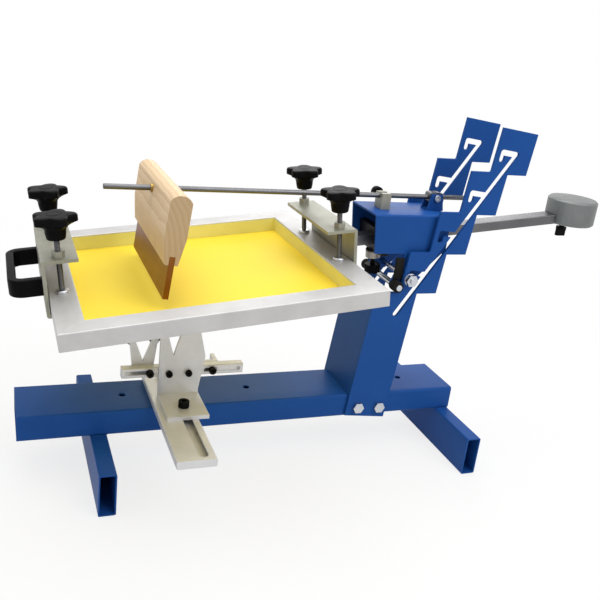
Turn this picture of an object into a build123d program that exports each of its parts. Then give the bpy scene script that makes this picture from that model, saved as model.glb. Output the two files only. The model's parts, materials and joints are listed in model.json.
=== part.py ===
"""Tabletop screen printing press for cylinders, in millimetres.

X runs along the beam, from the screen towards the counterweight. Y runs across the press and Z is up.
Drawing coordinates put X = 0 at the middle of the beam, Y = 0 on its centre plane and Z = 0 on the bench.
Every piece is moved once at the end, so that the origin is the bottom centre of the whole press.
"""
import os
from math import atan2, cos, degrees, radians, sin, tan

from build123d import *

# ---------------------------------------------------------------- fits shared by all pieces
running_gap = 0.05        # radial clearance of a shaft or a slide that moves
bolt_gap = 0.25           # radial clearance of a fixed bolt in its hole
seat_gap = 0.1            # between a moving piece and the stop it rests on

# ---------------------------------------------------------------- base
beam_length = 720.0
beam_width = 100.0
beam_height = 40.0
beam_wall = 2.5
beam_corner = 4.0
accessory_hole = 11.0
accessory_hole_places = (-204.0, -3.0, 278.0)

foot_length = 316.0
foot_width = 25.0
foot_height = 66.0
foot_wall = 2.0
foot_corner = 2.5
left_foot_inset = 103.0   # from the beam's left end to the foot's outer face

# ---------------------------------------------------------------- stair plates of the post
plate_thickness = 5.0
plate_lean = 6.3          # degrees from upright, towards the counterweight
plate_foot_x = 156.0      # lower left corner of the plates
plate_foot_z = 69.5
base_strip_width = 74.0
base_strip_height = 225.0
step_width = 67.0
step_across = 35.3
step_up = 71.0
step_count = 4
strip_corner = 10.5       # cut from the left corner of the lowest block
tread_fillet = 3.0
hook_width = 9.0
hook_rise = 11.0          # from an axle seat up to the middle of its channel
seat_inset = 12.0         # from a left riser to the middle of its axle seat
seat_above_tread = 22.5
slot_reach = 25.5         # from an axle seat across to the sloping slot
slot_tail = 71.0          # how far the slot runs below the lowest hook channel
web_thickness = 4.0
web_height = 190.0
post_bolt_diameter = 10.0
post_bolt_places = ((177.9, 83.8), (216.9, 82.0))

# ---------------------------------------------------------------- head
head_half_width = 45.0
head_sheet = 3.0
head_left = 172.0
head_right = 300.0
head_bottom = 350.0
head_top = 413.0
ear_radius = 12.0
rest_bar_diameter = 10.0
rest_sleeve_diameter = 18.0
rest_bar_overhang = 3.0
axle_nut_width = 18.0
axle_nut_height = 8.0
washer_thickness = 1.6
spacer_wall = 2.5

# ---------------------------------------------------------------- ram and counterweight
ram_tilt = 6.5            # degrees, the screen end is the lower one
ram_x = 235.0             # a point on the bar's centre line, inside the head
ram_z = 370.0
ram_width = 28.0
ram_height = 16.0
ram_right_reach = 355.0   # along the bar from that point to its free end
guide_thickness = 12.0
guide_margin = 12.0       # guide plate above and below the bar
front_guide_place = -46.0
rear_guide_place = 46.0
lock_block_height = 14.0
lock_screw_diameter = 8.0
lock_knob_diameter = 26.0
lock_knob_height = 14.0
lock_stem = 12.0
weight_diameter = 86.0
weight_height = 44.0
weight_x = 572.0
weight_below_bar = 5.0    # weight left under the bar, on its axis
weight_edge = 3.0
weight_screw_inset = 12.0
weight_screw_diameter = 8.0
weight_screw_stem = 8.0
weight_knob_diameter = 18.0
weight_knob_height = 16.0
weight_wing = 7.0         # thickness of the thumb screw's wing
weight_collar = 5.0

# ---------------------------------------------------------------- screen frame and clamps
frame_length = 436.0
frame_width = 424.0
rail_width = 35.5
rail_height = 24.0
rail_wall = 2.0
frame_below_ram = 5.0     # rail tops below the bar's centre line
mesh_thickness = 0.8
mesh_border = 8.0         # rail left bare outside the glued mesh
right_web = -120.0        # inner face of the right clamp's web, along the ram
clamp_length = 175.0
clamp_sheet = 5.0
clamp_flange = 48.0
clamp_above_rail = 50.0   # top face of the upper flange above the rail
clamp_corner = 4.0
clamp_play = 1.0          # between the frame's end and a clamp web
stud_spacing = 148.0
stud_diameter = 8.0
stud_pitch = 1.25         # a pad's travel for one turn of its knob, as the record's couplings state
stud_nut_height = 9.0
stud_nut_width = 15.0
pad_diameter = 18.0
pad_height = 5.0
knob_diameter = 60.0
knob_lobes = 5
knob_lobe_radius = 9.0
knob_disc_height = 11.0
knob_crown = 4.0          # rounding of the disc's upper rim
knob_flare = 4.0          # how far the hub widens up to the disc
knob_hub_diameter = 25.0
knob_hub_bottom = 75.0    # above the rail
knob_top = 108.0
handle_width = 148.0
handle_leg = 14.0
handle_grip = 11.0
handle_reach = 43.5
handle_height = 24.0
handle_raise = 10.0       # middle of the handle above the rail tops
handle_corner = 20.0
ram_flange_thickness = 6.0
ram_flange_width = 66.0
ram_flange_height = 44.0
small_screw_diameter = 6.0
flange_screw_head = 10.0
handle_screw_head = 8.0
handle_screw_head_height = 0.8
handle_screw_rise = 4.0   # above the middle of the handle
handle_screw_depth = 12.0
pivot_screw_head = 11.0
pivot_screw_head_height = 4.0

# ---------------------------------------------------------------- squeegee
rod_diameter = 8.0
rod_z = 433.5
rod_left = -241.5
rod_right = 345.0
rod_pivot_x = 288.0
rod_block_length = 24.0
rod_block_width = 16.0
rod_block_height = 17.0
tab_sheet = 3.0
tab_length = 30.0
rod_clamp_x = 196.0
rod_clamp_length = 16.0
rod_clamp_width = 24.0
rod_clamp_above = 5.0     # cheeks above the rod's centre line
rod_screw_diameter = 6.0
rod_knob_diameter = 18.0
rod_knob_length = 12.0
rod_knob_stem = 6.0
squeegee_length = 240.0
squeegee_x = -157.7       # where the rod's centre line meets the wood's middle plane
squeegee_lean = 6.3
wood_thickness = 30.0
wood_grip_drop = 40.0     # rod centre line down to where the wood starts to narrow
wood_above_rod = 17.5
wood_height = 95.0
wood_foot_thickness = 18.0
wood_crown = 9.0
blade_thickness = 8.0
blade_depth = 48.0
blade_in_wood = 12.0
bush_wall = 2.0
bush_overhang = 3.0

# ---------------------------------------------------------------- jig
arm_left = -166.0
arm_width = 56.0
arm_height = 12.0
arm_wall = 3.0
arm_corner = 2.0
arm_near_end = -222.0
arm_cap = 2.0             # plate that closes the arm's near end
arm_far_end = 45.0
arm_slot_width = 14.0
arm_slot_near = -215.0
arm_slot_far = -62.0
arm_screw_places = (-8.0, 30.0)
arm_screw_diameter = 8.0
jig_bolt_y = -84.0
jig_bolt_diameter = 10.0
jig_bolt_head = 16.0
column_screw_spacing = 30.0
column_foot_thickness = 6.0
column_left = -157.0
column_foot_right = -95.0
column_foot_near = -114.0
column_plate_thickness = 6.0
column_plate_far = -34.0
column_shoulder = 60.0    # plate height where the sides start to lean in
column_height = 112.0
column_flare = 8.0        # how far the right side leans out up to the shoulder
column_taper = 12.0       # how far it leans in again above it
column_notch_x = -136.0
column_notch_width = 28.0
column_notch_depth = 49.0
column_roller_drop = 9.0  # roller axles below the top of the plate
column_roller_offset = 16.5
crossbar_length = 188.0
crossbar_x = -117.5
crossbar_depth = 14.0
crossbar_height = 16.0
crossbar_raise = 26.0     # underside of the bar above the column's foot plate
crossbar_slot = 6.5       # height of the slots that the sliding screws pass through
left_slot_ends = (-205.0, -152.0)
right_slot_ends = (-83.0, -31.0)
slider_plate = 6.0
carrier_x = -178.0
fork_top_width = 44.0
fork_foot_width = 33.0
fork_notch_width = 30.0
fork_height = 46.0
fork_notch_floor = 5.0    # metal left between the notch and the top of the cross bar
fork_roller_drop = 8.0
fork_roller_offset = 17.5
roller_diameter = 17.0
roller_length = 26.0
roller_axle_diameter = 6.0
roller_side_gap = 0.4
carrier_screw_offset = 8.0
collar_x = -73.5
collar_width = 26.0
collar_fold = 22.0        # how far the stop's folded tongue stands out behind
jig_screw_diameter = 6.0
slider_screw_head = 11.0
slider_screw_head_height = 8.0
column_screw_head = 10.0
column_screw_head_height = 6.0
column_screw_reach = 9.0  # past the column plate
arm_screw_head = 13.0
arm_screw_head_height = 8.0

# ---------------------------------------------------------------- derived places
beam_bottom = foot_height
beam_top = foot_height + beam_height
beam_left = -beam_length / 2
beam_right = beam_length / 2
plate_inner = beam_width / 2
plate_outer = plate_inner + plate_thickness
left_foot_x = beam_left + left_foot_inset + foot_width / 2
right_foot_x = beam_right - foot_width / 2

tread_z = base_strip_height
lean_frame = Plane(
    origin=(plate_foot_x, 0, plate_foot_z),
    x_dir=(cos(radians(plate_lean)), 0, -sin(radians(plate_lean))),
    z_dir=(0, -1, 0),
)
ram_frame = Plane(
    origin=(ram_x, 0, ram_z),
    x_dir=(cos(radians(ram_tilt)), 0, sin(radians(ram_tilt))),
    z_dir=(-sin(radians(ram_tilt)), 0, cos(radians(ram_tilt))),
)


def left_riser(step):
    """Distance along the lean frame to the left edge of a block; block 0 is the base strip."""
    return base_strip_width + step * step_across - step_width


def seat_place(step):
    """Middle of an axle seat, in the lean frame."""
    return (left_riser(step + 1) + seat_inset, tread_z + step * step_up + seat_above_tread)


def lean_point(across, up):
    """A point of the lean frame, in drawing coordinates."""
    return lean_frame.from_local_coords(Vector(across, up, 0))


axle_radius = hook_width / 2 - running_gap
axle_centre = lean_point(*seat_place(0))
rest_radius = rest_sleeve_diameter / 2
rest_centre = lean_point(
    left_riser(1) - rest_radius - seat_gap,
    tread_z + rest_radius + seat_gap,
)

axis_angle = radians(ram_tilt)
head_top_left = head_left - (head_top - head_bottom) * tan(axis_angle)
rail_top = -frame_below_ram
rail_bottom = rail_top - rail_height
clamp_floor = rail_bottom - mesh_thickness
clamp_ceiling = rail_top + clamp_above_rail - clamp_sheet
ram_left = right_web + clamp_sheet + ram_flange_thickness
frame_right = right_web - clamp_play
frame_left = frame_right - frame_length
left_web = frame_left - clamp_play
frame_middle = (frame_left + frame_right) / 2
stud_places = {
    "left_near": (frame_left + rail_width / 2, -stud_spacing / 2),
    "left_far": (frame_left + rail_width / 2, stud_spacing / 2),
    "right_near": (frame_right - rail_width / 2, -stud_spacing / 2),
    "right_far": (frame_right - rail_width / 2, stud_spacing / 2),
}
weight_bar_z = ram_z + (weight_x - ram_x) * tan(axis_angle)
weight_bottom = weight_bar_z - ram_height / 2 - weight_below_bar
weight_screw_x = weight_x - weight_screw_inset
arm_middle = arm_left + arm_width / 2
arm_slot_x = arm_middle + 11.0
arm_top = beam_top + arm_height
foot_plate_top = arm_top + column_foot_thickness
column_plate_near = column_plate_far - column_plate_thickness
crossbar_bottom = foot_plate_top + crossbar_raise
crossbar_top = crossbar_bottom + crossbar_height
crossbar_middle = (crossbar_bottom + crossbar_top) / 2
crossbar_far = column_plate_far + crossbar_depth
slider_near = crossbar_far + running_gap
slider_far = slider_near + slider_plate
column_top = foot_plate_top + column_height
fork_top = crossbar_top + fork_height


# ---------------------------------------------------------------- small builders
def block(x_range, y_range, z_range):
    """A box between two places on each axis."""
    size = [high - low for low, high in (x_range, y_range, z_range)]
    middle = [(low + high) / 2 for low, high in (x_range, y_range, z_range)]
    return Pos(*middle) * Box(*size)


def upright(x, y, z_range, radius):
    """A cylinder that stands on its end."""
    low, high = z_range
    return Pos(x, y, (low + high) / 2) * Cylinder(radius, high - low)


def crosswise(x, z, y_range, radius):
    """A cylinder that lies across the press."""
    low, high = y_range
    return Pos(x, (low + high) / 2, z) * Rot(90, 0, 0) * Cylinder(radius, high - low)


def lengthwise(y, z, x_range, radius):
    """A cylinder that lies along the press."""
    low, high = x_range
    return Pos((low + high) / 2, y, z) * Rot(0, 90, 0) * Cylinder(radius, high - low)


def hexagon_across(x, z, y_range, width):
    """A hexagon bar that lies across the press, width measured over its flats."""
    low, high = y_range
    profile = RegularPolygon(width / 2, 6, major_radius=False)
    return Pos(x, low, z) * extrude(Plane.XZ * profile, high - low, dir=(0, 1, 0))


def hexagon_upright(x, y, z_range, width):
    """A hexagon bar that stands on its end."""
    low, high = z_range
    return Pos(x, y, low) * extrude(RegularPolygon(width / 2, 6, major_radius=False), high - low)


def sheet_across(profile, y_range):
    """A profile drawn in X and Z, as thick as the span in Y."""
    low, high = y_range
    return Pos(0, low, 0) * extrude(Plane.XZ * profile, high - low, dir=(0, 1, 0))


def face_of(*points):
    """A flat face through the given corners."""
    return make_face(Polyline(*points, close=True))


def stroke(start, end, width):
    """A straight slot with round ends between two points of a sketch."""
    start_point = Vector(*start)
    run = Vector(*end) - start_point
    angle = degrees(atan2(run.Y, run.X))
    middle = start_point + run / 2
    return Pos(middle.X, middle.Y) * Rot(0, 0, angle) * SlotCenterToCenter(run.length, width)


def tube(length, width, height, wall, corner):
    """A rectangular tube along X, open at both ends, centred on the origin."""
    outside = RectangleRounded(width, height, corner)
    inside = RectangleRounded(width - 2 * wall, height - 2 * wall, corner - wall / 2)
    return extrude(Plane.YZ * (outside - inside), length / 2, both=True)


def cap_screw(place, direction, head_diameter, head_height, diameter, length):
    """A cylinder-head screw whose head stands on the given place and whose shank goes the other way."""
    seat = Plane(origin=place, z_dir=direction)
    head = extrude(seat * Circle(head_diameter / 2), head_height)
    socket = extrude(
        seat.offset(head_height - head_height * 0.5) * RegularPolygon(diameter * 0.4, 6),
        head_height * 0.5,
    )
    shank = extrude(seat * Circle(diameter / 2), -length)
    return head + shank - socket


# ---------------------------------------------------------------- base
def make_beam():
    beam = Pos(0, 0, beam_bottom + beam_height / 2) * tube(
        beam_length, beam_width, beam_height, beam_wall, beam_corner
    )
    for x in accessory_hole_places:
        beam -= upright(x, 0, (beam_top - 2 * beam_wall, beam_top + 1), accessory_hole / 2)
    for y in arm_screw_places:
        hole_radius = arm_screw_diameter / 2 + bolt_gap
        beam -= upright(arm_middle, y, (beam_top - 2 * beam_wall, beam_top + 1), hole_radius)
    for x, z in post_bolt_places:
        beam -= crosswise(x, z, (-plate_outer, plate_outer), post_bolt_diameter / 2 + bolt_gap)
    return beam


def make_foot(x):
    return Pos(x, 0, foot_height / 2) * Rot(0, 0, 90) * tube(
        foot_length, foot_width, foot_height, foot_wall, foot_corner
    )


def stair_outline():
    """The stepped outline of a post plate, in the lean frame."""
    # Treads are level, so they rise along the leaning frame.
    tread_rise = step_across * tan(radians(plate_lean))
    right = [(base_strip_width, 0.0)]
    left = [(0.0, 0.0), (0.0, tread_z - 2.2 * strip_corner)]
    for step in range(step_count + 1):
        riser = base_strip_width + step * step_across
        level = tread_z + step * step_up
        right.append((riser, level))
        if step < step_count:
            right.append((riser + step_across, level + tread_rise))
            outer_corner = left_riser(step) if step else strip_corner
            left.append((outer_corner, level - tread_rise))
            left.append((left_riser(step + 1), level))
    left.append((left_riser(step_count), tread_z + step_count * step_up))
    outline = face_of(*(right + left[::-1]))
    corners = [
        vertex
        for vertex in outline.vertices()
        for step in range(step_count)
        if abs(vertex.X - left_riser(step + 1)) < 0.01 and abs(vertex.Y - tread_z - step * step_up) < 0.01
    ]
    return fillet(corners, tread_fillet)


def hook_cuts():
    """The sloping slot and the hook channels that branch from it, in the lean frame."""
    top_seat = seat_place(step_count - 1)
    low_seat = seat_place(0)
    tail_share = slot_tail / step_up
    slot_top = (top_seat[0] + slot_reach, top_seat[1] + hook_rise)
    slot_end = (
        low_seat[0] + slot_reach - tail_share * step_across,
        low_seat[1] + hook_rise - tail_share * step_up,
    )
    cuts = stroke(slot_top, slot_end, hook_width)
    for step in range(step_count):
        across, up = seat_place(step)
        cuts += stroke((across, up), (across, up + hook_rise), hook_width)
        cuts += stroke((across, up + hook_rise), (across + slot_reach, up + hook_rise), hook_width)
    return cuts


def make_stair_plate(side):
    profile = lean_frame * (stair_outline() - hook_cuts())
    near = plate_inner if side > 0 else -plate_outer
    plate = Pos(0, near, 0) * extrude(profile, plate_thickness, dir=(0, 1, 0))
    for x, z in post_bolt_places:
        plate -= crosswise(x, z, (-2 * plate_outer, 2 * plate_outer), post_bolt_diameter / 2 + bolt_gap)
    return plate


def make_post_web():
    profile = lean_frame * face_of((0, 0), (web_thickness, 0), (web_thickness, web_height), (0, web_height))
    web = Pos(0, -plate_inner, 0) * extrude(profile, 2 * plate_inner, dir=(0, 1, 0))
    below = block((0, beam_right), (-plate_outer, plate_outer), (0, beam_top))
    return web - below


def make_post_bolts():
    bolts = []
    head_height = post_bolt_diameter * 0.64
    nut_height = post_bolt_diameter * 0.8
    flats = post_bolt_diameter * 1.7
    for x, z in post_bolt_places:
        end = plate_outer + nut_height + 3
        shank = crosswise(x, z, (-plate_outer, end), post_bolt_diameter / 2)
        head = hexagon_across(x, z, (-plate_outer - head_height, -plate_outer), flats)
        nut = hexagon_across(x, z, (plate_outer, plate_outer + nut_height), flats)
        nut -= crosswise(x, z, (plate_outer - 1, end), post_bolt_diameter / 2)
        bolts += [shank + head, nut]
    return bolts


# ---------------------------------------------------------------- head
def side_profile():
    """One side of the folded head: a box side with an ear down to the axle and the rest bar."""
    side = face_of(
        (head_top_left, head_top),
        (head_left, head_bottom),
        (rest_centre.X + ear_radius, head_bottom),
        (head_right, head_bottom),
        (head_right, head_top),
    )
    ear_corners = Pos(axle_centre.X, axle_centre.Z) * Circle(ear_radius)
    rest_corner = Pos(rest_centre.X, rest_centre.Z) * Circle(rest_bar_diameter / 2 + 3)
    left_corner = Pos(rest_centre.X + ear_radius, head_bottom) * Circle(1)
    right_corner = Pos(head_right - ear_radius, head_bottom + ear_radius) * Circle(ear_radius)
    ear = make_hull((ear_corners + rest_corner + left_corner + right_corner).edges())
    side += ear
    side -= Pos(axle_centre.X, axle_centre.Z) * Circle(axle_radius + bolt_gap)
    side -= Pos(rest_centre.X, rest_centre.Z) * Circle(rest_bar_diameter / 2 + bolt_gap)
    return side


def make_head_housing():
    side = side_profile()
    near = sheet_across(side, (-head_half_width, -head_half_width + head_sheet))
    far = sheet_across(side, (head_half_width - head_sheet, head_half_width))
    roof = block(
        (head_top_left, head_right), (-head_half_width, head_half_width), (head_top - head_sheet, head_top)
    )
    housing = near + far + roof
    folds = [
        edge
        for edge in housing.edges().filter_by(Axis.X)
        if abs(edge.center().Z - head_top) < 0.01 and abs(abs(edge.center().Y) - head_half_width) < 0.01
    ]
    return fillet(folds, head_sheet * 1.2)


def make_guide(place):
    """A guide plate square to the ram, wide enough to be welded between the head's sides."""
    reach = ram_height / 2 + guide_margin
    half = head_half_width - head_sheet
    guide = block(
        (place - guide_thickness / 2, place + guide_thickness / 2),
        (-half, half),
        (-reach, reach),
    )
    guide -= block(
        (place - guide_thickness, place + guide_thickness),
        (-ram_width / 2 - running_gap, ram_width / 2 + running_gap),
        (-ram_height / 2 - running_gap, ram_height / 2 + running_gap),
    )
    return guide


def make_front_guide():
    """The front guide also carries the boss of the screw that locks the ram."""
    guide = make_guide(front_guide_place)
    bottom = -ram_height / 2 - guide_margin
    guide += upright(front_guide_place, 0, (bottom - lock_block_height, bottom), guide_thickness)
    guide -= upright(
        front_guide_place, 0, (bottom - lock_block_height - 1, 0), lock_screw_diameter / 2 + running_gap
    )
    return ram_frame * guide


def make_ram_lock_screw():
    bottom = -ram_height / 2 - guide_margin - lock_block_height
    top = -ram_height / 2 - seat_gap
    knob_top_level = bottom - lock_stem
    screw = upright(front_guide_place, 0, (knob_top_level, top), lock_screw_diameter / 2)
    knob = upright(
        front_guide_place, 0, (knob_top_level - lock_knob_height, knob_top_level), lock_knob_diameter / 2
    )
    for lobe in PolarLocations(lock_knob_diameter / 2 + 1.5, 6):
        knob -= Pos(front_guide_place, 0, knob_top_level - lock_knob_height / 2) * lobe * Cylinder(
            3.5, lock_knob_height + 1
        )
    return ram_frame * (screw + knob)


def make_hook_axle():
    """The axle through both ears and both plates, with a washer and a nut at each end."""
    washer_end = plate_outer + seat_gap + washer_thickness
    nut_end = washer_end + axle_nut_height
    x, z = axle_centre.X, axle_centre.Z
    pieces = [crosswise(x, z, (-nut_end - 3, nut_end + 3), axle_radius)]
    for side in (-1, 1):
        washer_span = sorted((side * (plate_outer + seat_gap), side * washer_end))
        nut_span = sorted((side * washer_end, side * nut_end))
        spacer_span = sorted((side * head_half_width, side * (plate_inner - seat_gap)))
        hole = crosswise(x, z, (-nut_end - 4, nut_end + 4), axle_radius)
        pieces.append(crosswise(x, z, washer_span, axle_nut_width / 2 + 1.5) - hole)
        pieces.append(hexagon_across(x, z, nut_span, axle_nut_width) - hole)
        pieces.append(crosswise(x, z, spacer_span, axle_radius + spacer_wall) - hole)
    return pieces


def make_rest_bar():
    sleeve_end = plate_outer + rest_radius * 0.8
    x, z = rest_centre.X, rest_centre.Z
    return crosswise(
        x, z, (-sleeve_end - rest_bar_overhang, sleeve_end + rest_bar_overhang), rest_bar_diameter / 2
    )


def make_rest_sleeves():
    sleeve_end = plate_outer + rest_radius * 0.8
    x, z = rest_centre.X, rest_centre.Z
    sleeves = []
    for side in (-1, 1):
        span = sorted((side * head_half_width, side * sleeve_end))
        sleeves.append(crosswise(x, z, span, rest_radius) - crosswise(x, z, span, rest_bar_diameter / 2))
    return sleeves


def make_rod_tab():
    """A small folded clevis on the head's roof that carries the squeegee rod's pivot."""
    half = rod_block_width / 2 + running_gap
    ear_top = rod_z + small_screw_diameter
    profile = face_of(
        (rod_pivot_x - tab_length / 2, head_top),
        (rod_pivot_x + tab_length / 2, head_top),
        (rod_pivot_x + tab_length / 3, ear_top),
        (rod_pivot_x - tab_length / 3, ear_top),
    )
    profile -= Pos(rod_pivot_x, rod_z) * Circle(small_screw_diameter / 2 + running_gap)
    near = sheet_across(profile, (-half - tab_sheet, -half))
    far = sheet_across(profile, (half, half + tab_sheet))
    sole = block(
        (rod_pivot_x - tab_length / 2, rod_pivot_x + tab_length / 2),
        (-half - tab_sheet, half + tab_sheet),
        (head_top, head_top + tab_sheet * 0.8),
    )
    return near + far + sole


def make_rod_pivot_screws():
    half = rod_block_width / 2 + running_gap + tab_sheet
    depth = half - rod_diameter / 2 - 1.5
    head = (pivot_screw_head, pivot_screw_head_height)
    near = cap_screw((rod_pivot_x, -half, rod_z), (0, -1, 0), *head, small_screw_diameter, depth)
    far = cap_screw((rod_pivot_x, half, rod_z), (0, 1, 0), *head, small_screw_diameter, depth)
    return [near, far]


def make_rod_block():
    """The sleeve that grips the rod and turns on the two pivot screws."""
    sleeve = block(
        (rod_pivot_x - rod_block_length / 2, rod_pivot_x + rod_block_length / 2),
        (-rod_block_width / 2, rod_block_width / 2),
        (rod_z - rod_block_height / 2, rod_z + rod_block_height / 2),
    )
    sleeve = fillet(sleeve.edges().filter_by(Axis.Y), 4)
    sleeve -= lengthwise(0, rod_z, (rod_left, rod_right), rod_diameter / 2)
    sleeve -= crosswise(
        rod_pivot_x, rod_z, (-rod_block_width, rod_block_width), small_screw_diameter / 2 + running_gap
    )
    return sleeve


def make_rod():
    rod = lengthwise(0, rod_z, (rod_left, rod_right), rod_diameter / 2)
    return chamfer(rod.edges(), 0.8)


def make_rod_clamp():
    """An open-topped fork on the head's roof in which the rod lies."""
    clamp = block(
        (rod_clamp_x - rod_clamp_length / 2, rod_clamp_x + rod_clamp_length / 2),
        (-rod_clamp_width / 2, rod_clamp_width / 2),
        (head_top, rod_z + rod_clamp_above),
    )
    reach = rod_diameter / 2 + running_gap
    channel = lengthwise(0, rod_z, (rod_left, rod_right), reach)
    channel += block((rod_left, rod_right), (-reach, reach), (rod_z, rod_z + 2 * rod_clamp_above))
    clamp -= channel
    clamp -= crosswise(rod_clamp_x, rod_z, (0, rod_clamp_width), rod_screw_diameter / 2 + running_gap)
    return clamp


def make_rod_clamp_screw():
    tip = rod_diameter / 2 + running_gap + seat_gap
    knob_near = rod_clamp_width / 2 + rod_knob_stem
    stem = crosswise(rod_clamp_x, rod_z, (tip, knob_near), rod_screw_diameter / 2)
    knob = crosswise(rod_clamp_x, rod_z, (knob_near, knob_near + rod_knob_length), rod_knob_diameter / 2)
    return stem + chamfer(knob.edges(), 1.2)


# ---------------------------------------------------------------- ram, clamps and screen
def make_ram_bar():
    bar = block(
        (ram_left, ram_right_reach), (-ram_width / 2, ram_width / 2), (-ram_height / 2, ram_height / 2)
    )
    bar = chamfer(bar.edges().filter_by(Axis.X), 0.8)
    return ram_frame * bar


def flange_screw_places():
    """Screw places on the flange: one above the other, each side of the bar."""
    across = ram_flange_width / 2 - 9
    up = ram_flange_height / 2 - 8
    return [(y, z) for y in (-across, across) for z in (-up, up)]


def make_ram_flange():
    flange = block(
        (ram_left - ram_flange_thickness, ram_left),
        (-ram_flange_width / 2, ram_flange_width / 2),
        (-ram_flange_height / 2, ram_flange_height / 2),
    )
    flange = fillet(flange.edges().filter_by(Axis.X), 5)
    for y, z in flange_screw_places():
        flange -= lengthwise(y, z, (right_web, ram_left + 1), small_screw_diameter / 2 + bolt_gap)
    return ram_frame * flange


def make_ram_screws():
    """Screws that hold the flange to the right clamp, and the pull handle to the left one."""
    reach = ram_flange_thickness + clamp_sheet
    screws = [
        cap_screw(
            (ram_left, y, z), (1, 0, 0), flange_screw_head, small_screw_diameter, small_screw_diameter, reach
        )
        for y, z in flange_screw_places()
    ]
    handle_z = rail_top + handle_raise + handle_screw_rise
    head = (handle_screw_head, handle_screw_head_height)
    depth = clamp_sheet + handle_screw_depth
    for y in (-handle_width / 2 + handle_leg / 2, handle_width / 2 - handle_leg / 2):
        screws.append(cap_screw((left_web, y, handle_z), (1, 0, 0), *head, small_screw_diameter - 1, depth))
    return [ram_frame * screw for screw in screws]


def make_clamp(web_inner, side):
    """A folded channel that grips one end of the screen frame; side is -1 at the left end."""
    web_outer = web_inner + side * clamp_sheet
    tip = web_outer - side * clamp_flange
    outline = face_of(
        (tip, clamp_floor),
        (web_inner, clamp_floor),
        (web_inner, clamp_ceiling),
        (tip, clamp_ceiling),
        (tip, clamp_ceiling + clamp_sheet),
        (web_outer, clamp_ceiling + clamp_sheet),
        (web_outer, clamp_floor - clamp_sheet),
        (tip, clamp_floor - clamp_sheet),
    )
    bends = [vertex for vertex in outline.vertices() if abs(vertex.X - web_outer) < 0.01]
    outline = fillet(bends, clamp_corner)
    clamp = sheet_across(outline, (-clamp_length / 2, clamp_length / 2))
    for name, (place, y) in stud_places.items():
        if (side < 0) == name.startswith("left"):
            nut_top = clamp_ceiling + clamp_sheet + stud_nut_height
            clamp += hexagon_upright(place, y, (clamp_ceiling + clamp_sheet, nut_top), stud_nut_width)
            clamp -= upright(place, y, (clamp_ceiling - 1, nut_top + 1), stud_diameter / 2 + running_gap)
    if side > 0:
        for y, z in flange_screw_places():
            clamp -= lengthwise(y, z, (web_inner - 1, web_outer + 1), small_screw_diameter / 2)
    else:
        handle_z = rail_top + handle_raise + 4
        for y in (-handle_width / 2 + handle_leg / 2, handle_width / 2 - handle_leg / 2):
            clamp -= lengthwise(y, handle_z, (web_outer - 1, web_inner + 1), small_screw_diameter / 2 - 0.5)
    return ram_frame * clamp


def rail_profile():
    outside = RectangleRounded(rail_width, rail_height, 1.5)
    inside = RectangleRounded(rail_width - 2 * rail_wall, rail_height - 2 * rail_wall, 0.6)
    return outside - inside


def make_rail(side):
    """One mitred tube of the screen frame; side names where it lies."""
    lengthways = side in ("near", "far")
    long_side = frame_length if lengthways else frame_width
    half_long = long_side / 2
    half_other = (frame_width if lengthways else frame_length) / 2
    rail = extrude(Plane.YZ * rail_profile(), half_long, both=True)
    rail = Pos(0, -half_other + rail_width / 2, (rail_top + rail_bottom) / 2) * rail
    wedge = extrude(
        face_of(
            (-half_long, -half_other),
            (half_long, -half_other),
            (half_long - rail_width, -half_other + rail_width),
            (-half_long + rail_width, -half_other + rail_width),
        ),
        rail_height * 4,
        both=True,
    )
    rail = rail & wedge
    turn = {"near": 0, "far": 180, "left": -90, "right": 90}[side]
    return ram_frame * Pos(frame_middle, 0, 0) * Rot(0, 0, turn) * rail


def make_mesh():
    return ram_frame * block(
        (frame_left + mesh_border, frame_right - mesh_border),
        (-frame_width / 2 + mesh_border, frame_width / 2 - mesh_border),
        (rail_bottom - mesh_thickness, rail_bottom),
    )


def make_pad(place, y):
    pad = upright(place, y, (rail_top, rail_top + pad_height), pad_diameter / 2)
    return ram_frame * chamfer(pad.edges().group_by(Axis.Z)[-1], 1.5)


def make_knob(place, y):
    """A lobed knob moulded on a threaded stud."""
    top = rail_top + knob_top
    lobe_place = knob_diameter / 2 - knob_lobe_radius
    star = Circle(lobe_place + 2)
    for lobe in PolarLocations(lobe_place, knob_lobes):
        star += lobe * Circle(knob_lobe_radius)
    star = fillet(star.vertices(), knob_lobe_radius * 0.5)
    disc = Pos(place, y, top - knob_disc_height) * extrude(star, knob_disc_height)
    disc = fillet(disc.edges().group_by(Axis.Z)[-1], knob_crown)
    hub_bottom = rail_top + knob_hub_bottom
    hub_height = top - knob_disc_height - hub_bottom
    hub = Pos(place, y, hub_bottom + hub_height / 2) * Cone(
        knob_hub_diameter / 2, knob_hub_diameter / 2 + knob_flare, hub_height
    )
    stud = upright(place, y, (rail_top + pad_height, hub_bottom), stud_diameter / 2)
    return ram_frame * (disc + hub + stud)


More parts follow.
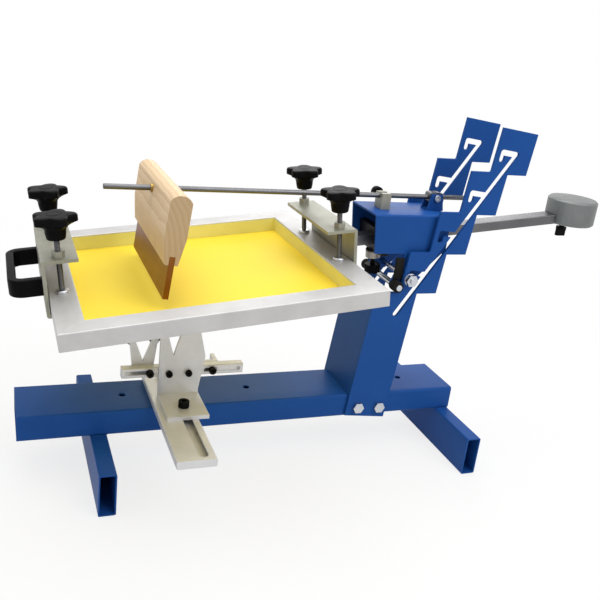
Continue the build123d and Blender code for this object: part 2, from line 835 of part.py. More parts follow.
def make_handle():
    outer_web = left_web - clamp_sheet
    grip_end = outer_web - handle_reach
    outside = face_of(
        (outer_web, -handle_width / 2),
        (outer_web, handle_width / 2),
        (grip_end, handle_width / 2),
        (grip_end, -handle_width / 2),
    )
    outside = fillet([v for v in outside.vertices() if v.X < outer_web - 1], handle_corner)
    inside = face_of(
        (outer_web + 1, -handle_width / 2 + handle_leg),
        (outer_web + 1, handle_width / 2 - handle_leg),
        (grip_end + handle_grip, handle_width / 2 - handle_leg),
        (grip_end + handle_grip, -handle_width / 2 + handle_leg),
    )
    inside = fillet([v for v in inside.vertices() if v.X < outer_web], handle_corner - handle_grip)
    middle = rail_top + handle_raise
    handle = Pos(0, 0, middle) * extrude(outside - inside, handle_height / 2, both=True)
    outer_edges = [e for e in handle.edges() if abs(abs(e.center().Z - middle) - handle_height / 2) < 0.01]
    handle = fillet([e for e in outer_edges if e.center().X < outer_web - 0.5], 2.5)
    for y in (-handle_width / 2 + handle_leg / 2, handle_width / 2 - handle_leg / 2):
        handle -= lengthwise(y, middle + 4, (outer_web - 12, outer_web + 1), small_screw_diameter / 2 - 0.5)
    return ram_frame * handle


def make_counterweight():
    weight = upright(weight_x, 0, (weight_bottom, weight_bottom + weight_height), weight_diameter / 2)
    weight = chamfer(weight.edges(), weight_edge)
    bore = block(
        (0, 2 * ram_right_reach),
        (-ram_width / 2 - running_gap, ram_width / 2 + running_gap),
        (-ram_height / 2 - running_gap, ram_height / 2 + running_gap),
    )
    weight -= ram_frame * bore
    weight -= upright(
        weight_screw_x, 0, (weight_bottom - 1, weight_bar_z), weight_screw_diameter / 2 + running_gap
    )
    return weight


def make_weight_screw():
    bar_under = ram_z + (weight_screw_x - ram_x) * tan(axis_angle) - ram_height / 2 / cos(axis_angle)
    tip = bar_under - weight_screw_diameter / 2 * tan(axis_angle) - seat_gap
    knob_level = weight_bottom - weight_screw_stem
    stem = upright(weight_screw_x, 0, (knob_level, tip), weight_screw_diameter / 2)
    knob = upright(weight_screw_x, 0, (knob_level - weight_knob_height, knob_level), weight_knob_diameter / 2)
    flats = block(
        (0, 2 * weight_x),
        (-weight_wing / 2, weight_wing / 2),
        (knob_level - weight_knob_height - 1, knob_level - weight_collar / 2),
    )
    wing = knob & flats
    collar = upright(weight_screw_x, 0, (knob_level - weight_collar, knob_level), weight_knob_diameter / 2)
    return stem + wing + collar


# ---------------------------------------------------------------- squeegee
def wood_outline():
    """Section of the wooden grip, drawn about the rod's centre line."""
    half_top = wood_thickness / 2
    half_foot = wood_foot_thickness / 2
    foot = wood_above_rod - wood_height
    crown = wood_above_rod - wood_crown
    sides = Polyline((half_top, crown), (half_top, -wood_grip_drop), (half_foot, foot))
    sides += Line((half_foot, foot), (-half_foot, foot))
    sides += Polyline((-half_foot, foot), (-half_top, -wood_grip_drop), (-half_top, crown))
    sides += ThreePointArc((-half_top, crown), (0, wood_above_rod), (half_top, crown))
    return make_face(sides)


squeegee_frame = Plane(
    origin=(squeegee_x, 0, rod_z),
    x_dir=(cos(radians(squeegee_lean)), 0, -sin(radians(squeegee_lean))),
    z_dir=(0, -1, 0),
)


def make_squeegee_handle():
    wood = extrude(squeegee_frame * wood_outline(), squeegee_length / 2, both=True)
    groove = extrude(squeegee_frame * blade_outline(), squeegee_length, both=True)
    hole = lengthwise(
        0, rod_z, (rod_left, head_left), rod_diameter / 2 + running_gap + bush_wall + running_gap
    )
    return wood - groove - hole


def blade_outline():
    top = wood_above_rod - wood_height + blade_in_wood
    half = blade_thickness / 2
    edge = top - blade_in_wood - blade_depth
    return face_of((-half, top), (half, top), (half, edge), (-half, edge))


def make_squeegee_blade():
    return extrude(squeegee_frame * blade_outline(), squeegee_length / 2, both=True)


def make_squeegee_bush():
    reach = wood_thickness / 2 / cos(radians(squeegee_lean)) + bush_overhang
    span = (squeegee_x - reach, squeegee_x + reach)
    inner = rod_diameter / 2 + running_gap
    return lengthwise(0, rod_z, span, inner + bush_wall) - lengthwise(0, rod_z, (rod_left, head_left), inner)


# ---------------------------------------------------------------- jig
def make_jig_arm():
    """A flat tube across the beam, slotted in its top wall and closed at its near end."""
    length = arm_far_end - arm_near_end
    arm = Pos(arm_middle, (arm_far_end + arm_near_end) / 2, beam_top + arm_height / 2) * Rot(0, 0, 90) * tube(
        length, arm_width, arm_height, arm_wall, arm_corner
    )
    cap = block(
        (arm_left + 1, arm_left + arm_width - 1),
        (arm_near_end, arm_near_end + arm_cap),
        (beam_top + 1, arm_top - 1),
    )
    arm += cap
    slot_middle = (arm_slot_near + arm_slot_far) / 2
    slot = SlotOverall(arm_slot_far - arm_slot_near, arm_slot_width)
    slot_place = Pos(arm_slot_x, slot_middle, arm_top - 1.5 * arm_wall)
    arm -= slot_place * Rot(0, 0, 90) * extrude(slot, 3 * arm_wall)
    for y in arm_screw_places:
        arm -= upright(arm_middle, y, (beam_top - 1, arm_top + 1), arm_screw_diameter / 2 + bolt_gap)
    return arm


def make_jig_arm_screws():
    """Cap screws through the arm and the beam's top wall, with spacers inside the arm and nuts below."""
    pieces = []
    nut_height = arm_screw_diameter * 0.8
    nut_top = beam_top - beam_wall
    for y in arm_screw_places:
        length = arm_height + beam_wall + nut_height + 2
        head = (arm_screw_head, arm_screw_head_height)
        pieces.append(cap_screw((arm_middle, y, arm_top), (0, 0, 1), *head, arm_screw_diameter, length))
        hole = upright(arm_middle, y, (beam_bottom, arm_top), arm_screw_diameter / 2)
        pieces.append(hexagon_upright(arm_middle, y, (nut_top - nut_height, nut_top), 13) - hole)
        inside = (beam_top + arm_wall, arm_top - arm_wall)
        pieces.append(upright(arm_middle, y, inside, arm_screw_diameter / 2 + 3) - hole)
    return pieces


def make_jig_bolt():
    """The bolt that clamps the jig's foot along the arm's slot, with a square nut inside the arm."""
    nut_top = arm_top - arm_wall - running_gap
    nut_bottom = beam_top + arm_wall + running_gap
    x, y = arm_slot_x, jig_bolt_y
    seat = foot_plate_top + running_gap
    bolt = cap_screw(
        (x, y, seat), (0, 0, 1), jig_bolt_head, jig_bolt_diameter, jig_bolt_diameter, seat - nut_bottom
    )
    half = arm_slot_width * 0.75
    nut = block((x - half, x + half), (y - half, y + half), (nut_bottom, nut_top))
    nut -= upright(x, y, (beam_top, arm_top), jig_bolt_diameter / 2)
    return [bolt, nut]


def column_profile():
    """The upright plate: its right side flares to a shoulder and a deep V notch opens its top."""
    shoulder = foot_plate_top + column_shoulder
    profile = face_of(
        (column_left, arm_top),
        (column_foot_right, arm_top),
        (column_foot_right, foot_plate_top + column_foot_thickness),
        (column_foot_right + column_flare, shoulder),
        (column_foot_right + column_flare - column_taper, column_top),
        (column_notch_x + column_notch_width / 2, column_top),
        (column_notch_x, column_top - column_notch_depth),
        (column_notch_x - column_notch_width / 2, column_top),
        (column_left, column_top),
    )
    for x, z in column_roller_places():
        profile -= Pos(x, z) * Circle(roller_axle_diameter / 2 + running_gap)
    for x, z in column_screw_places():
        profile -= Pos(x, z) * Circle(jig_screw_diameter / 2 + bolt_gap)
    return profile


def column_roller_places():
    level = column_top - column_roller_drop
    return [(column_notch_x + side * column_roller_offset, level) for side in (-1, 1)]


def column_screw_places():
    return [(arm_slot_x + side * column_screw_spacing / 2, crossbar_middle) for side in (-1, 1)]


def make_jig_column():
    column = sheet_across(column_profile(), (column_plate_near, column_plate_far))
    column += block(
        (column_left, column_foot_right),
        (column_foot_near, column_plate_far),
        (arm_top, foot_plate_top),
    )
    column -= upright(
        arm_slot_x, jig_bolt_y, (arm_top - 1, foot_plate_top + 1), jig_bolt_diameter / 2 + running_gap
    )
    return column


def make_jig_column_screws():
    head = (column_screw_head, column_screw_head_height)
    length = column_plate_thickness + column_screw_reach
    return [
        cap_screw((x, column_plate_near, z), (0, -1, 0), *head, jig_screw_diameter, length)
        for x, z in column_screw_places()
    ]


def make_jig_crossbar():
    """The bar behind the column, slotted at both ends for the screws of the fork and the stop."""
    bar = block(
        (crossbar_x - crossbar_length / 2, crossbar_x + crossbar_length / 2),
        (column_plate_far, crossbar_far),
        (crossbar_bottom, crossbar_top),
    )
    bar = chamfer(bar.edges().filter_by(Axis.X), 1)
    for x, z in column_screw_places():
        bar -= crosswise(x, z, (column_plate_near, column_plate_far + 9), jig_screw_diameter / 2)
    for start, end in (left_slot_ends, right_slot_ends):
        slot = stroke((start, crossbar_middle), (end, crossbar_middle), crossbar_slot)
        bar -= sheet_across(slot, (column_plate_far - 1, crossbar_far + 1))
    return bar


def fork_roller_places():
    return [(carrier_x + side * fork_roller_offset, fork_top - fork_roller_drop) for side in (-1, 1)]


def make_carrier():
    """The V fork: a plate that slides along the back of the cross bar."""
    fork = face_of(
        (carrier_x - fork_foot_width / 2, crossbar_bottom),
        (carrier_x + fork_foot_width / 2, crossbar_bottom),
        (carrier_x + fork_foot_width / 2, crossbar_top),
        (carrier_x + fork_top_width / 2, fork_top),
        (carrier_x + fork_notch_width / 2, fork_top),
        (carrier_x, crossbar_top + fork_notch_floor),
        (carrier_x - fork_notch_width / 2, fork_top),
        (carrier_x - fork_top_width / 2, fork_top),
        (carrier_x - fork_foot_width / 2, crossbar_top),
    )
    for x, z in fork_roller_places():
        fork += Pos(x, z) * Circle(roller_axle_diameter * 0.9)
        fork -= Pos(x, z) * Circle(roller_axle_diameter / 2 + running_gap)
    fork -= Pos(carrier_x + carrier_screw_offset, crossbar_middle) * Circle(jig_screw_diameter / 2)
    return sheet_across(fork, (slider_near, slider_far))


def make_stop():
    """The stop that slides along the back of the cross bar, folded from strip."""
    plate = face_of(
        (collar_x - collar_width / 2, crossbar_bottom),
        (collar_x + collar_width / 2, crossbar_bottom),
        (collar_x + collar_width / 2, crossbar_top),
        (collar_x - collar_width / 2, crossbar_top),
    )
    plate -= Pos(collar_x, crossbar_middle) * Circle(jig_screw_diameter / 2)
    tongue = block(
        (collar_x + collar_width / 2 - slider_plate, collar_x + collar_width / 2),
        (slider_near, slider_far + collar_fold),
        (crossbar_bottom, crossbar_top),
    )
    return sheet_across(plate, (slider_near, slider_far)) + tongue


def make_axles(places, plate_near, plate_far):
    """Shoulder pins for the rollers: a head before the plate and a retaining cap behind the roller."""
    pins = []
    for x, z in places:
        end = plate_far + roller_side_gap + roller_length + roller_side_gap
        pin = crosswise(x, z, (plate_near, end), roller_axle_diameter / 2)
        pin += crosswise(x, z, (plate_near - 2, plate_near), roller_axle_diameter / 2 + 1.5)
        pin += crosswise(x, z, (end, end + 2), roller_axle_diameter / 2 + 1.5)
        pins.append(pin)
    return pins


def make_roller(x, z, plate_far):
    start = plate_far + roller_side_gap
    roller = crosswise(x, z, (start, start + roller_length), roller_diameter / 2)
    roller = chamfer(roller.edges(), 1)
    bore = crosswise(x, z, (start - 1, start + roller_length + 1), roller_axle_diameter / 2 + running_gap)
    return roller - bore


def make_slider_screw(x):
    """A cap screw through the cross bar's slot into the plate behind it."""
    seat = column_plate_far - running_gap
    head = (slider_screw_head, slider_screw_head_height)
    return cap_screw((x, seat, crossbar_middle), (0, -1, 0), *head, jig_screw_diameter, slider_far - seat)


# ---------------------------------------------------------------- all nodes
def make_nodes():
    nodes = {
        "beam": make_beam(),
        "left_foot": make_foot(left_foot_x),
        "right_foot": make_foot(right_foot_x),
        "near_stair_plate": make_stair_plate(-1),
        "far_stair_plate": make_stair_plate(1),
        "post_web": make_post_web(),
        "post_bolts": make_post_bolts(),
        "head_housing": make_head_housing(),
        "front_guide": make_front_guide(),
        "rear_guide": ram_frame * make_guide(rear_guide_place),
        "ram_lock_screw": make_ram_lock_screw(),
        "hook_axle": make_hook_axle(),
        "rest_bar": make_rest_bar(),
        "rest_sleeves": make_rest_sleeves(),
        "rod_tab": make_rod_tab(),
        "rod_pivot_screws": make_rod_pivot_screws(),
        "rod_block": make_rod_block(),
        "squeegee_rod": make_rod(),
        "rod_clamp": make_rod_clamp(),
        "rod_clamp_screw": make_rod_clamp_screw(),
        "squeegee_bush": make_squeegee_bush(),
        "squeegee_handle": make_squeegee_handle(),
        "squeegee_blade": make_squeegee_blade(),
        "ram_bar": make_ram_bar(),
        "ram_flange": make_ram_flange(),
        "ram_screws": make_ram_screws(),
        "left_clamp": make_clamp(left_web, -1),
        "right_clamp": make_clamp(right_web, 1),
        "pull_handle": make_handle(),
        "screen_mesh": make_mesh(),
        "counterweight": make_counterweight(),
        "weight_screw": make_weight_screw(),
        "jig_arm": make_jig_arm(),
        "jig_arm_screws": make_jig_arm_screws(),
        "jig_bolt": make_jig_bolt(),
        "jig_column": make_jig_column(),
        "jig_column_screws": make_jig_column_screws(),
        "jig_crossbar": make_jig_crossbar(),
        "fork_carrier": make_carrier(),
        "carrier_screw": make_slider_screw(carrier_x + carrier_screw_offset),
        "stop_collar": make_stop(),
        "collar_screw": make_slider_screw(collar_x),
        "fork_axles": make_axles(fork_roller_places(), slider_near, slider_far),
        "column_axles": make_axles(column_roller_places(), column_plate_near, column_plate_far),
    }
    for side in ("near", "far", "left", "right"):
        nodes["frame_rail_" + side] = make_rail(side)
    for name, (place, y) in stud_places.items():
        nodes["clamp_knob_" + name] = make_knob(place, y)
        nodes["clamp_pad_" + name] = make_pad(place, y)
    for side, (x, z) in zip(("left", "right"), fork_roller_places()):
        nodes["fork_roller_" + side] = make_roller(x, z, slider_far)
    for side, (x, z) in zip(("left", "right"), column_roller_places()):
        nodes["column_roller_" + side] = make_roller(x, z, column_plate_far)
    return nodes


def as_compound(shape):
    """One compound of separate solids for a node."""
    pieces = shape if isinstance(shape, list) else [shape]
    return Compound(children=[solid for piece in pieces for solid in piece.solids()])


def origin_shift(nodes):
    """The move that puts the origin at the bottom centre of the whole press."""
    boxes = [node.bounding_box() for node in nodes.values()]
    low_x = min(box.min.X for box in boxes)
    high_x = max(box.max.X for box in boxes)
    low_y = min(box.min.Y for box in boxes)
    high_y = max(box.max.Y for box in boxes)
    low_z = min(box.min.Z for box in boxes)
    return Vector(-(low_x + high_x) / 2, -(low_y + high_y) / 2, -low_z)


def main():
    nodes = {name: as_compound(shape) for name, shape in make_nodes().items()}
    shift = origin_shift(nodes)
    os.makedirs("parts", exist_ok=True)
    for name, node in nodes.items():
        export_step(Pos(shift.X, shift.Y, shift.Z) * node, f"parts/{name}.step")
    print(f"{len(nodes)} nodes, origin moved by {shift.X:.3f} {shift.Y:.3f} {shift.Z:.3f}")


if __name__ == "__main__":
    main()
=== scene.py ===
"""Looks of the tabletop screen printing press, in metres, around its packed construction."""
import json
from math import atan2, cos, pi, radians, sin

import bmesh
import bpy
from mathutils import Matrix, Vector


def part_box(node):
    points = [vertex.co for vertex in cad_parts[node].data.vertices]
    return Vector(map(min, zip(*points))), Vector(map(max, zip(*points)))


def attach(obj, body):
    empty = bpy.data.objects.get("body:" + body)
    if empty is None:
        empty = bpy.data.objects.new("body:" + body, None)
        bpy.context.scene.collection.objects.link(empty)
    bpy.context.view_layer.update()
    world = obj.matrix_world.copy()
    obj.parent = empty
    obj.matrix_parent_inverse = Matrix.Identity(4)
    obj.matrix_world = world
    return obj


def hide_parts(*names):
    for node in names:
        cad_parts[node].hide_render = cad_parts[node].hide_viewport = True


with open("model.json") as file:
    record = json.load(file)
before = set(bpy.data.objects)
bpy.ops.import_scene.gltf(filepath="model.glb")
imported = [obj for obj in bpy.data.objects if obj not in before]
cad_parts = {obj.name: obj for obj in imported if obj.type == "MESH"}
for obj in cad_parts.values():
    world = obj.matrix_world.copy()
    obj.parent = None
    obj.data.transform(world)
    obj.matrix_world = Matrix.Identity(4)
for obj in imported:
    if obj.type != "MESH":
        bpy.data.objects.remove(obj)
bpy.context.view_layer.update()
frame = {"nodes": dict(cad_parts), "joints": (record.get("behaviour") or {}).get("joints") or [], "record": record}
MM = 0.001
nodes = frame["nodes"]
record = frame["record"]
bodies = record["behaviour"]["bodies"]
body_of_node = {node: body for body, members in bodies.items() for node in members}
slot_of_node = {part["node"]: part["material_slot"] for part in record["subparts"]}
joints = {joint["name"]: joint for joint in frame["joints"]}

# ---------------------------------------------------------------- places and names taken from the frame
ram_axis = Vector(joints["ram_slide"]["axis"])
ram_up = Vector(joints["pad_slide_left_near"]["axis"])
ram_tilt = atan2(ram_axis.z, ram_axis.x)
CORNERS = ("left_near", "left_far", "right_near", "right_far")
FEET = ("left_foot", "right_foot")
GUIDES = ("front_guide", "rear_guide")
SIDE_RAILS = ("frame_rail_left", "frame_rail_right")


# ---------------------------------------------------------------- node trees
class Wire:
    """A value, colour or shape on its way through a node tree, with arithmetic."""

    def __init__(self, work, socket):
        self.work = work
        self.socket = socket

    def math(self, operation, other, swapped=False):
        pair = [other, self] if swapped else [self, other]
        return self.work.node("ShaderNodeMath", {"operation": operation}, dict(enumerate(pair)))

    def __add__(self, other):
        return self.math("ADD", other)

    def __sub__(self, other):
        return self.math("SUBTRACT", other)

    def __mul__(self, other):
        return self.math("MULTIPLY", other)

    def __truediv__(self, other):
        return self.math("DIVIDE", other)

    def __rsub__(self, other):
        return self.math("SUBTRACT", other, swapped=True)

    def __rtruediv__(self, other):
        return self.math("DIVIDE", other, swapped=True)

    __radd__ = __add__
    __rmul__ = __mul__


class NodeWork:
    """A node tree that is built one node at a time."""

    def __init__(self, tree):
        self.tree = tree

    def node(self, kind, settings=None, sockets=None, output=0):
        """Adds a node: settings first, then the values or links of its sockets."""
        node = self.tree.nodes.new(kind)
        for key, value in (settings or {}).items():
            if key == "stops":
                ramp = node.color_ramp.elements
                while len(ramp) < len(value):
                    ramp.new(1.0)
                for stop, (place, tint) in zip(ramp, value):
                    stop.position = place
                    stop.color = tint
            else:
                setattr(node, key, value)
        for key, value in (sockets or {}).items():
            if isinstance(value, Wire):
                self.tree.links.new(value.socket, node.inputs[key])
            else:
                node.inputs[key].default_value = value
        return Wire(self, node.outputs[output])

    def between(self, value, low, high, start=0.0, end=1.0):
        """The value's stretch from start to end, brought to low and high."""
        spans = {"Value": value, "From Min": start, "From Max": end, "To Min": low, "To Max": high}
        return self.node("ShaderNodeMapRange", {}, spans)

    def backdrop_rays(self):
        """1 for what the camera sees, also in gloss and through glass, and 0 for light on the press."""
        camera, gloss, through = (
            self.node("ShaderNodeLightPath", output=f"Is {kind} Ray")
            for kind in ("Camera", "Glossy", "Transmission")
        )
        return camera.math("MAXIMUM", gloss).math("MAXIMUM", through)


class Finish(NodeWork):
    """One material and the nodes that make it."""

    def __init__(self, name, **shader_values):
        self.name = name
        self.material = bpy.data.materials.new(name)
        self.material.use_nodes = True
        super().__init__(self.material.node_tree)
        self.shader = self.tree.nodes["Principled BSDF"]
        for socket, value in shader_values.items():
            self.shader.inputs[socket.replace("_", " ")].default_value = value

    def place(self, stretch=(1, 1, 1), turn=(0, 0, 0), shift=(0, 0, 0)):
        """Object coordinates, moved, turned and stretched."""
        here = self.node("ShaderNodeTexCoord", output="Object")
        return self.node(
            "ShaderNodeMapping", {}, {"Vector": here, "Scale": stretch, "Rotation": turn, "Location": shift}
        )

    def noise(self, scale, place=None, detail=3.0, rough=0.5):
        where = place or self.place()
        return self.node(
            "ShaderNodeTexNoise", {}, {"Vector": where, "Scale": scale, "Detail": detail, "Roughness": rough}
        )

    def wave(self, settings, place, **shape):
        """Repeating bands or rings, from 0 to 1."""
        sockets = {socket.replace("_", " "): value for socket, value in shape.items()}
        return self.node("ShaderNodeTexWave", settings, {"Vector": place, **sockets})

    def ramp(self, value, *stops):
        return self.node("ShaderNodeValToRGB", {"stops": stops}, {0: value})

    def blend(self, factor, first, second):
        """Two colours mixed by a factor."""
        mix = {"Factor": factor, 6: first, 7: second}
        return self.node("ShaderNodeMix", {"data_type": "RGBA"}, mix, output=2)

    def wear(self, **links):
        """Links finished wires to the shader's sockets."""
        for socket, wire in links.items():
            self.tree.links.new(wire.socket, self.shader.inputs[socket.replace("_", " ")])
        return self

    def bump(self, height, strength, distance):
        """Ends the finish with its fine relief."""
        relief = {"Height": height, "Strength": strength, "Distance": distance}
        return self.wear(Normal=self.node("ShaderNodeBump", {}, relief))


def colour(red, green, blue):
    """A screen colour from 0 to 255 as the linear colour that shaders use."""
    linear = []
    for level in (red, green, blue):
        share = level / 255
        linear.append(share / 12.92 if share <= 0.04045 else ((share + 0.055) / 1.055) ** 2.4)
    return (*linear, 1.0)


# ---------------------------------------------------------------- finishes
# Noise scales are features a metre. A metal's fine lines are noise that is drawn out along one way.
LINES_ALONG_RAM = {"stretch": (0.02, 1, 1), "turn": (0, ram_tilt, 0)}
LINES_ACROSS = {"stretch": (1, 0.02, 1)}
LINES_UPRIGHT = {"stretch": (1, 1, 0.02)}
NO_LINES = {}


def powder_coat(name, deep, lit):
    """Smooth satin powder coat with a faint orange peel and dusty patches."""
    finish = Finish(name, Specular_IOR_Level=0.1)
    patches = finish.noise(scale=9.0, detail=4.0)
    peel = finish.noise(scale=700.0, detail=2.0)
    scuffs = finish.noise(scale=60.0, place=finish.place(stretch=(1, 6, 1)), detail=6.0, rough=0.7)
    finish.wear(
        Base_Color=finish.blend(patches, deep, lit),
        Roughness=finish.between(scuffs, low=0.34, high=0.56),
    )
    return finish.bump(peel, strength=0.12, distance=0.2 * MM)


def plated(name, lit, dull, roughness, metallic=1.0, lines=NO_LINES):
    """Plated or mill-finish metal with fine lines along one way and a mottled tone."""
    finish = Finish(name, Metallic=metallic)
    drawn = finish.noise(scale=900.0, place=finish.place(**lines), detail=2.0)
    mottle = finish.noise(scale=28.0, detail=5.0, rough=0.6)
    smoothest, roughest = 0.75, 1.5
    finish.wear(
        Base_Color=finish.blend(mottle, dull, lit),
        Roughness=finish.between(drawn, low=roughness * smoothest, high=roughness * roughest),
    )
    return finish.bump(drawn, strength=0.18, distance=0.1 * MM)


def moulded(name, deep, handled, roughness):
    """Moulded plastic or rubber with a fine spark-eroded grain, paler where hands have been."""
    finish = Finish(name, Specular_IOR_Level=0.03)
    grain = finish.noise(scale=900.0, detail=2.0)
    touch = finish.noise(scale=45.0, detail=4.0, rough=0.6)
    smoothest, roughest = 0.8, 1.35
    finish.wear(
        Base_Color=finish.blend(touch, deep, handled),
        Roughness=finish.between(touch, low=roughness * smoothest, high=roughness * roughest),
    )
    return finish.bump(grain, strength=0.15, distance=0.15 * MM)


def steel_shaded_in_box(name, level):
    """Steel painted black above a level, as painted shade inside the head's box, and a bright ground boss below
    it.
    """
    finish = Finish(name, Metallic=0.6, Specular_IOR_Level=0.2)
    height = finish.node("ShaderNodeSeparateXYZ", {}, {0: finish.place()}, output="Z")
    above = finish.between(height, low=0.0, high=1.0, start=level - MM, end=level + MM)
    mottle = finish.noise(scale=40.0, detail=4.0)
    # Painted shade: the plate inside the head's box is painted black for the shade in there.
    black = finish.blend(mottle, colour(14, 14, 15), colour(34, 34, 36))
    ground = finish.blend(mottle, colour(150, 144, 136), colour(186, 181, 172))
    finish.wear(
        Base_Color=finish.blend(above, ground, black),
        Roughness=finish.between(mottle, low=0.35, high=0.55),
    )
    return finish.bump(finish.noise(scale=600.0), strength=0.15, distance=0.1 * MM)


def mesh_reflection_film(name):
    """A thin yellow film on the inside of the frame, as a painted reflection of the yellow mesh in the aluminium
    walls.
    """
    finish = Finish(name, Specular_IOR_Level=0.25)
    cloud = finish.noise(scale=26.0, detail=5.0, rough=0.6)
    upright_streaks = finish.noise(scale=130.0, place=finish.place(stretch=(1, 1, 0.25)), detail=4.0, rough=0.65)
    finish.wear(
        # Painted reflection: the yellow mesh as it shows in the frame's aluminium walls.
        Base_Color=finish.blend(cloud, colour(224, 218, 130), colour(244, 240, 158)),
        Roughness=finish.between(upright_streaks, low=0.35, high=0.6),
    )
    return finish.bump(upright_streaks, strength=0.3, distance=0.2 * MM)


def planed_wood(name):
    """Pale hardwood with growth rings that show as lines on the faces and arcs on the ends, which are painted
    darker, partly for end grain and partly as painted shade.
    """
    finish = Finish(name, Coat_Weight=0.08, Coat_Roughness=0.35)
    heart = (0.42, 0.0, -0.37)
    wander = finish.noise(scale=6.0, place=finish.place(stretch=(1, 0.25, 1)), detail=3.0)
    rings = finish.wave(
        {"wave_type": "RINGS", "rings_direction": "Y", "wave_profile": "SAW"},
        finish.place(shift=heart), Scale=42.0, Distortion=3.0, Detail=2.0, Detail_Scale=0.6,
    )
    fibre = finish.noise(scale=420.0, place=finish.place(stretch=(1, 0.03, 1)), detail=4.0, rough=0.6)
    ring_share, fibre_share, wander_share = 0.45, 0.35, 0.3
    grain = finish.ramp(
        rings * ring_share + fibre * fibre_share + wander * wander_share,
        (0.2, colour(204, 170, 126)),
        (0.55, colour(222, 192, 152)),
        (0.9, colour(234, 208, 172)),
    )
    low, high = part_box("squeegee_handle")
    centred = finish.place(shift=(0, -(low.y + high.y) / 2, 0))
    reach = finish.node("ShaderNodeSeparateXYZ", {}, {0: centred}, output="Y").math("ABSOLUTE", 0.0)
    half_length = (high.y - low.y) / 2
    # The ends are painted darker: partly real end grain, partly painted shade where less light falls on them.
    deepest, skin, end_darkening_and_shade = 1.4 * MM, 0.4 * MM, 0.55
    end_grain_and_shade = finish.between(reach, low=0.0, high=1.0, start=half_length - deepest, end=half_length - skin)
    finish.wear(
        Base_Color=finish.blend(end_grain_and_shade * end_darkening_and_shade, grain, colour(150, 122, 82)),
        Roughness=finish.between(fibre, low=0.5, high=0.68),
    )
    return finish.bump(fibre, strength=0.25, distance=0.2 * MM)


def amber_urethane(name):
    """Cast polyurethane strip: smooth, deep amber, lighter where it is scuffed."""
    finish = Finish(name, Coat_Weight=0.08, Coat_Roughness=0.2, Specular_IOR_Level=0.25)
    cloud = finish.noise(scale=30.0)
    streaks = finish.noise(scale=300.0, place=finish.place(stretch=(1, 0.1, 1)))
    finish.wear(
        Base_Color=finish.blend(cloud, colour(108, 60, 2), colour(148, 88, 6)),
        Roughness=finish.between(streaks, low=0.3, high=0.5),
    )
    return finish.bump(streaks, strength=0.1, distance=0.1 * MM)


def woven_polyester(name, pitch):
    """Fine stretched plain weave, bright yellow, with its threads along and across the frame."""
    finish = Finish(name, Specular_IOR_Level=0.15)
    radians_per_scale = 20
    scale = 2 * pi / radians_per_scale / pitch
    along, across = (
        finish.wave(
            {"wave_type": "BANDS", "bands_direction": direction, "wave_profile": "SIN"},
            finish.place(turn=(0, ram_tilt, 0)), Scale=scale, Distortion=0.0,
        )
        for direction in "XY"
    )
    weave = along.math("MAXIMUM", across)
    weave_share, cloud_share = 0.35, 0.65
    tone = weave * weave_share + finish.noise(scale=5.0) * cloud_share
    finish.wear(
        Base_Color=finish.blend(tone, colour(244, 212, 50), colour(250, 226, 80)),
        Roughness=finish.between(weave, low=0.72, high=0.5),
    )
    return finish.bump(weave, strength=0.3, distance=0.2 * MM)


def blue_paint():
    return powder_coat("blue_paint", deep=colour(22, 69, 137), lit=colour(32, 83, 155))


def bright_steel():
    return plated("bright_steel", colour(214, 216, 220), colour(176, 180, 186), roughness=0.28)


def jig_steel():
    tints = colour(226, 226, 227), colour(196, 196, 198)
    return plated("jig_steel", *tints, roughness=0.4, metallic=0.4, lines=LINES_UPRIGHT)


def clamp_steel():
    tints = colour(172, 171, 156), colour(128, 127, 113)
    return plated("clamp_steel", *tints, roughness=0.4, metallic=0.45, lines=LINES_ACROSS)


def dark_steel():
    tints = colour(120, 120, 122), colour(88, 88, 92)
    return plated("dark_steel", *tints, roughness=0.34, lines=LINES_ALONG_RAM)


def mill_aluminium(name, lines):
    tints = colour(208, 207, 205), colour(180, 179, 178)
    return plated(name, *tints, roughness=0.45, metallic=0.5, lines=lines)


def cast_iron():
    return plated("cast_weight", colour(134, 137, 136), colour(98, 101, 101), roughness=0.46, metallic=0.5)


def brass():
    return plated("brass_bush", colour(190, 160, 92), colour(150, 122, 66), roughness=0.35)


def guide_steel():
    """The guides are painted black inside the head's folded box, as painted shade there, and bright where their
    boss comes out under it.
    """
    head_box_height = 72 * MM
    return steel_shaded_in_box("guide_steel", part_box("head_housing")[1].z - head_box_height)


def make_finishes():
    """Every material, by the name of its finish."""
    made = (
        blue_paint(),
        bright_steel(),
        jig_steel(),
        clamp_steel(),
        dark_steel(),
        mill_aluminium("frame_aluminium", LINES_ALONG_RAM),
        mill_aluminium("side_aluminium", LINES_ACROSS),
        moulded("black_plastic", colour(9, 9, 10), colour(20, 20, 22), roughness=0.36),
        moulded("black_screw", colour(12, 12, 12), colour(30, 30, 30), roughness=0.4),
        moulded("roller_rubber", colour(24, 24, 24), colour(42, 41, 39), roughness=0.7),
        planed_wood("wood"),
        amber_urethane("urethane"),
        brass(),
        woven_polyester("yellow_mesh", pitch=1.1 * MM),
        cast_iron(),
        mesh_reflection_film("frame_emulsion"),
        guide_steel(),
    )
    return {finish.name: finish.material for finish in made}


finishes = make_finishes()


# ---------------------------------------------------------------- pieces in the scene
def put_in_scene(name, data):
    """A new object of the data, linked to the scene."""
    placed = bpy.data.objects.new(name, data)
    bpy.context.scene.collection.objects.link(placed)
    return placed


def finish_piece(piece, finish, body):
    """Gives a piece its material and body."""
    piece.data.materials.clear()
    piece.data.materials.append(finishes[finish])
    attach(piece, body)


def soften_shading(mesh, sharp_from):
    """Smooth shading that keeps the edges from the given angle up, in degrees."""
    mesh.shade_smooth()
    mesh.set_sharp_from_angle(angle=radians(sharp_from))


